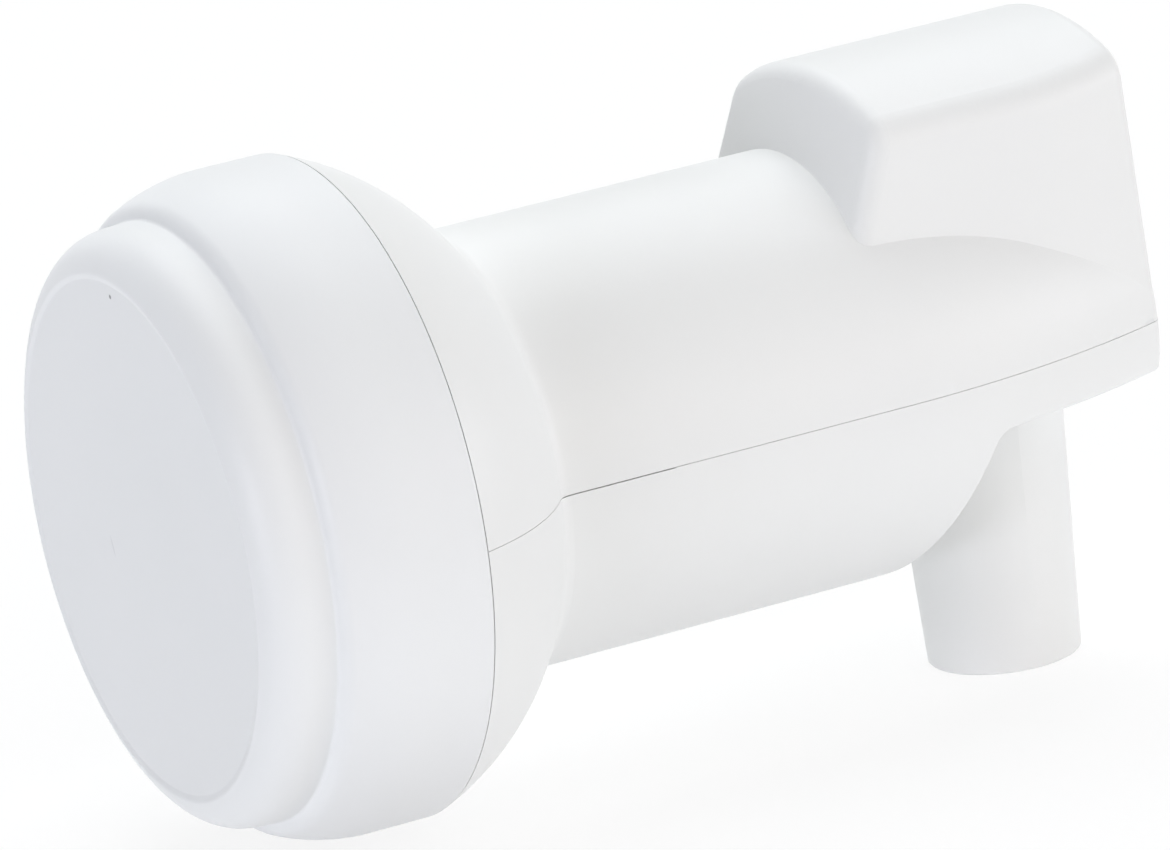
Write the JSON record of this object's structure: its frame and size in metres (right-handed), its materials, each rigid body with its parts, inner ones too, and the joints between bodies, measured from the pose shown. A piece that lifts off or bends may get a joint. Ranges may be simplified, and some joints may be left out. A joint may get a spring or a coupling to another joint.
{
  "type": "satellite lnb",
  "caption": "White moulded satellite dish receiver head: round feed cap, flared bell, plain clamp neck, arched circuit hump and a downward connector shroud.",
  "frame": {"origin": "on the feed axis at the middle of the clamp neck", "axes": "-Y is the way the feed looks, +Z is towards the hump, -Z is the way the connector points"},
  "size_m": [0.0602, 0.0955, 0.0613],
  "materials": {
    "radome_plastic": "satin moulded",
    "housing_plastic": "satin moulded",
    "seal_rubber": "matte",
    "cast_aluminium": "die-cast",
    "plated_steel": "zinc plated",
    "board_laminate": "solder mask",
    "gilded_brass": "gold flash",
    "ptfe": "waxy",
    "package_resin": "moulded resin",
    "chip_ceramic": "fired",
    "nickel_plate": "nickel plated"
  },
  "bodies": {
    "root": {"feed_cap": "radome_plastic", "upper_shell": "housing_plastic", "lower_shell": "housing_plastic", "cap_seal": "seal_rubber", "horn_casting": "cast_aluminium", "chamber_lid": "cast_aluminium", "lid_screws": "plated_steel", "circuit_board": "board_laminate", "board_screws": "plated_steel", "vertical_probe": "gilded_brass", "horizontal_probe": "gilded_brass", "probe_bushes": "ptfe", "isolation_post": "gilded_brass", "low_noise_transistors": "package_resin", "converter_chip": "package_resin", "reference_crystal": "plated_steel", "voltage_regulator": "package_resin", "chip_parts": "chip_ceramic", "connector_barrel": "nickel_plate", "connector_insulator": "ptfe", "connector_contact": "gilded_brass", "connector_seal": "seal_rubber"}
  },
  "joints": []
}
